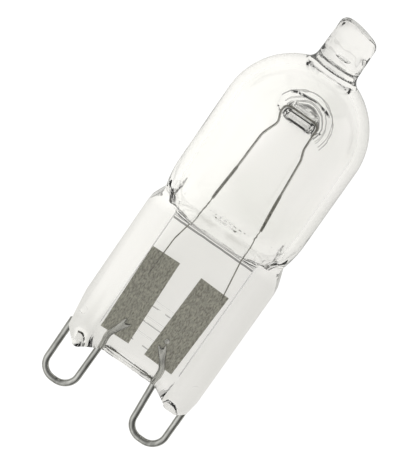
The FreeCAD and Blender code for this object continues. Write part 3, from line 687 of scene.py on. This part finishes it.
def addWeldSpot(bm):
    centre = Vector(weldSpot["place"])
    flattened = Matrix.Diagonal((1, weldSpot["rise"] / weldSpot["radius"], 1, 1))
    spot = bmesh.ops.create_uvsphere(
        bm,
        u_segments=weldSpot["slices"],
        v_segments=weldSpot["bands"],
        radius=weldSpot["radius"],
        matrix=Matrix.Translation(centre) @ flattened,
    )
    for vert in spot["verts"]:
        away = vert.co - centre
        inward = 1 - math.hypot(away.x, away.z) / weldSpot["dimple"]
        if inward > 0 and away.y < 0:
            vert.co.y += smoothStep(inward) * weldSpot["rise"] * weldSpot["dimpleShare"]


for side, sign in (("left", -1), ("right", 1)):
    bm = buildLoop(side, sign)
    if side == "right":
        addWeldSpot(bm)
    bmesh.ops.transform(bm, matrix=laidDown, verts=bm.verts)
    name = f"contact_loop_{side}"
    addPiece(f"contactLoop{side.title()}", bm, name, platedWire)
print("contact loops made")

# Inner leads
leads = {
    "radius": 0.055,
    "sides": 12,
    "step": 0.1,
    "bend": 2.0,
    "left": ((-2.23, 15.5), (-2.32, 14.0), (-2.88, 11.2), (-3.0, 7.35)),
    "right": ((2.66, 15.5), (2.66, 14.0), (2.68, 13.0), (3.24, 9.05)),
}

for side in ("left", "right"):
    first, *middle, last = leads[side]
    corners = [first] + [(*corner, leads["bend"]) for corner in middle] + [last]
    points = roundedPath(corners, leads["step"])
    thin = leads["radius"]
    bm = bmesh.new()
    tube(
        bm,
        [section(point, ahead, thin, thin) for point, ahead in zip(points, directions(points))],
        leads["sides"],
    )
    bmesh.ops.transform(bm, matrix=laidDown, verts=bm.verts)
    name = f"inner_lead_{side}"
    addPiece(f"innerLead{side.title()}", bm, name, tungsten)
print("inner leads made")

# Filament: one coiled wire, close-wound in its two legs and open-wound between them, with
# a blend where each leg ends
filament = {
    "path": (
        (-2.23, 15.52),
        (-2.0, 19.2, 0.8),
        (-1.87, 22.7, 0.8),
        (-1.3, 24.16, 0.8),
        (-1.635, 24.95, 0.8),
        (-1.635, 25.83, 0.5),
        (1.635, 25.83, 0.5),
        (1.635, 24.95, 0.8),
        (1.7, 23.43, 0.8),
        (2.0, 22.7, 0.8),
        (2.3, 19.2, 0.8),
        (2.66, 15.52),
    ),
    "step": 0.004,
    "legTop": 19.2,
    "blendLength": 0.2,
    "legRadius": 0.1,
    "legWire": 0.047,
    "legPitch": 0.094,
    "coilRadius": 0.082,
    "coilWire": 0.04,
    "coilPitch": 0.12,
    "turnSteps": 8,
    "wireSides": 6,
    "sharpTurn": 80,
}


def buildFilament():
    points = roundedPath(filament["path"], filament["step"])
    ways = directions(points)
    places, radials, wires = [], [], []
    turn, waited = 0, 0
    stepTurn = 2 * math.pi / filament["turnSteps"]
    for point, ahead in zip(points, ways):
        aboveLeg = point.z - filament["legTop"] + filament["blendLength"] / 2
        blend = smoothStep(aboveLeg / filament["blendLength"])
        pitch = filament["legPitch"] + blend * (filament["coilPitch"] - filament["legPitch"])
        onward = 2 * math.pi * filament["step"] / pitch
        turn += onward
        waited += onward
        if waited < stepTurn:
            continue
        waited -= stepTurn
        aside = ahead.cross(depth)
        radial = aside * math.cos(turn) + depth * math.sin(turn)
        size = filament["legRadius"] + blend * (filament["coilRadius"] - filament["legRadius"])
        places.append(point + radial * size)
        radials.append(radial)
        wires.append(
            filament["legWire"] + blend * (filament["coilWire"] - filament["legWire"])
        )
    sections = []
    for place, radial, wire, ahead in zip(places, radials, wires, directions(places)):
        beside = ahead.cross(radial).normalized()
        outward = beside.cross(ahead)
        turnedHere = Matrix((outward * wire, beside * wire, ahead)).transposed().to_4x4()
        sections.append(Matrix.Translation(place) @ turnedHere)
    bm = bmesh.new()
    tube(bm, sections, filament["wireSides"])
    bmesh.ops.transform(bm, matrix=laidDown, verts=bm.verts)
    print("filament:", len(places), "sections")
    addPiece("filamentCoil", bm, "filament", tungsten, filament["sharpTurn"])


buildFilament()
print("filament made")

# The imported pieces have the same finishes, by the first word of their names
finishes = {"glass": quartzGlass, "contact": platedWire, "foil": sealingFoil}
for name, node in frame["nodes"].items():
    node.data.materials.clear()
    node.data.materials.append(finishes.get(name.split("_")[0], tungsten))
print("packed pieces finished")

# Floor: nearly white to the camera, and graded for what is seen through the glass or
# reflected in it
floorLook = {
    "side": 0.6,
    "drop": 0.00001,
    "roughness": 0.8,
    "seen": 0.94,
    "through": 0.74,
    "reflected": 0.85,
    "backdrop": (1, 0.985, 0.945, 1),
    "glow": 1.1,
    "far": (0.5, 0.5, 0.48, 1),
}
bm = bmesh.new()
bmesh.ops.create_grid(bm, x_segments=1, y_segments=1, size=floorLook["side"] / 2)
bmesh.ops.translate(bm, verts=bm.verts, vec=(0, 0, -floorLook["drop"]))
mesh = bpy.data.meshes.new("floor")
bm.to_mesh(mesh)
bm.free()
floor = bpy.data.objects.new("floor", mesh)
bpy.context.scene.collection.objects.link(floor)

material, nodes, links = newMaterial("whiteFloor")
shader = nodes["Principled BSDF"]
shader.inputs["Base Color"].default_value = floorLook["backdrop"]
shader.inputs["Roughness"].default_value = floorLook["roughness"]
ray = nodes.new("ShaderNodeLightPath")
toCamera = ray.outputs["Is Camera Ray"]
bounced = mathNode("SUBTRACT", ray.outputs["Is Glossy Ray"], ray.outputs["Is Transmission Ray"])
bounced.node.use_clamp = True
share = rangeNode(toCamera, 0, 1, floorLook["through"], floorLook["seen"])
share = mixNode("FLOAT", bounced, share, floorLook["reflected"])
tone = mixNode("RGBA", toCamera, floorLook["backdrop"], (1, 1, 1, 1))
tone = mixNode("RGBA", bounced, tone, floorLook["far"])
lit = mathNode("SUBTRACT", 1, ray.outputs["Is Diffuse Ray"])
shown = mathNode("MULTIPLY", share, lit)
glow = nodes.new("ShaderNodeEmission")
glow.inputs["Strength"].default_value = floorLook["glow"]
blend = nodes.new("ShaderNodeMixShader")
links.new(tone, glow.inputs["Color"])
links.new(shown, blend.inputs["Fac"])
links.new(shader.outputs["BSDF"], blend.inputs[1])
links.new(glow.outputs["Emission"], blend.inputs[2])
links.new(blend.outputs["Shader"], nodes["Material Output"].inputs["Surface"])
floor.data.materials.append(material)
print("floor made")

# Camera: nearly straight above, with the bulb turned in the picture
view = {
    "aim": Vector((-1.02, 0, 12.8)),
    "leanBack": 2.36,
    "turn": 34.8,
    "pixelsPerMm": 12.1,
    "pictureHeight": 469,
    "lens": 200,
    "sensor": 36,
    "nearest": 0.01,
    "farthest": 10,
    "bounces": 32,
}
lean = math.radians(view["leanBack"])
upRow = Vector((0, math.cos(lean), -math.sin(lean)))
turn = math.radians(view["turn"])
right = axisAcross * math.cos(turn) + upRow * math.sin(turn)
up = -axisAcross * math.sin(turn) + upRow * math.cos(turn)
back = right.cross(up)
seenHeight = view["pictureHeight"] / view["pixelsPerMm"] * mm
away = seenHeight * view["lens"] / view["sensor"]
cameraData = bpy.data.cameras.new("camera")
cameraData.lens = view["lens"]
cameraData.sensor_width = view["sensor"]
cameraData.clip_start = view["nearest"]
cameraData.clip_end = view["farthest"]
camera = bpy.data.objects.new("camera", cameraData)
bpy.context.scene.collection.objects.link(camera)
camera.matrix_world = Matrix.Translation(laidDown @ view["aim"] + back * away) @ Matrix(
    (right, up, back)
).transposed().to_4x4()
bpy.context.scene.camera = camera
bpy.context.scene.view_settings.view_transform = "Standard"
bpy.context.scene.cycles.max_bounces = view["bounces"]
bpy.context.scene.cycles.transmission_bounces = view["bounces"]

# World: white to the camera, a softly graded studio to everything else
studio = {
    "left": 1.5,
    "right": 0.3,
    "horizon": 0.45,
    "zenith": 1.0,
    "sideRange": (-0.8, 0.3),
    "heightRange": (0.1, 0.7),
    "throughTint": (1, 0.985, 0.95, 1),
    "throughLeast": 0.6,
    "throughShare": 0.2,
}
world = bpy.data.worlds.new("studio")
bpy.context.scene.world = world
world.use_nodes = True
nodes, links = world.node_tree.nodes, world.node_tree.links
nodes.clear()
out = nodes.new("ShaderNodeOutputWorld")
place = nodes.new("ShaderNodeTexCoord")
aside = nodes.new("ShaderNodeVectorMath")
aside.operation = "DOT_PRODUCT"
aside.inputs[1].default_value = right
parts = nodes.new("ShaderNodeSeparateXYZ")
links.new(place.outputs["Generated"], aside.inputs[0])
links.new(place.outputs["Generated"], parts.inputs["Vector"])
sideTone = rangeNode(
    aside.outputs["Value"], *studio["sideRange"], studio["left"], studio["right"], "SMOOTHSTEP"
)
heightTone = rangeNode(
    parts.outputs["Z"], *studio["heightRange"], studio["horizon"], studio["zenith"], "SMOOTHSTEP"
)
level = mathNode("MULTIPLY", sideTone, heightTone)
throughLevel = mathNode("MULTIPLY_ADD", level, studio["throughShare"], studio["throughLeast"])
graded = nodes.new("ShaderNodeBackground")
plain = nodes.new("ShaderNodeBackground")
plain.inputs["Color"].default_value = (1, 1, 1, 1)
through = nodes.new("ShaderNodeBackground")
through.inputs["Color"].default_value = studio["throughTint"]
ray = nodes.new("ShaderNodeLightPath")
mixThrough = nodes.new("ShaderNodeMixShader")
blend = nodes.new("ShaderNodeMixShader")
links.new(level, graded.inputs["Strength"])
links.new(throughLevel, through.inputs["Strength"])
links.new(ray.outputs["Is Transmission Ray"], mixThrough.inputs["Fac"])
links.new(graded.outputs["Background"], mixThrough.inputs[1])
links.new(through.outputs["Background"], mixThrough.inputs[2])
links.new(ray.outputs["Is Camera Ray"], blend.inputs["Fac"])
links.new(mixThrough.outputs["Shader"], blend.inputs[1])
links.new(plain.outputs["Background"], blend.inputs[2])
links.new(blend.outputs["Shader"], out.inputs["Surface"])

# Softbox from the picture's upper left
softbox = {"aside": -0.22, "above": 0.05, "height": 0.19, "side": 0.12, "power": 0.8}
lampData = bpy.data.lights.new("softbox", "AREA")
lampData.size = softbox["side"]
lampData.energy = softbox["power"]
lamp = bpy.data.objects.new("softbox", lampData)
bpy.context.scene.collection.objects.link(lamp)
lamp.visible_transmission = False
lamp.visible_glossy = False
lamp.location = (
    right * softbox["aside"] + up * softbox["above"] + back * softbox["height"]
)
lamp.rotation_mode = "QUATERNION"
lamp.rotation_quaternion = lamp.location.to_track_quat("Z", "Y")
print("camera and light made")
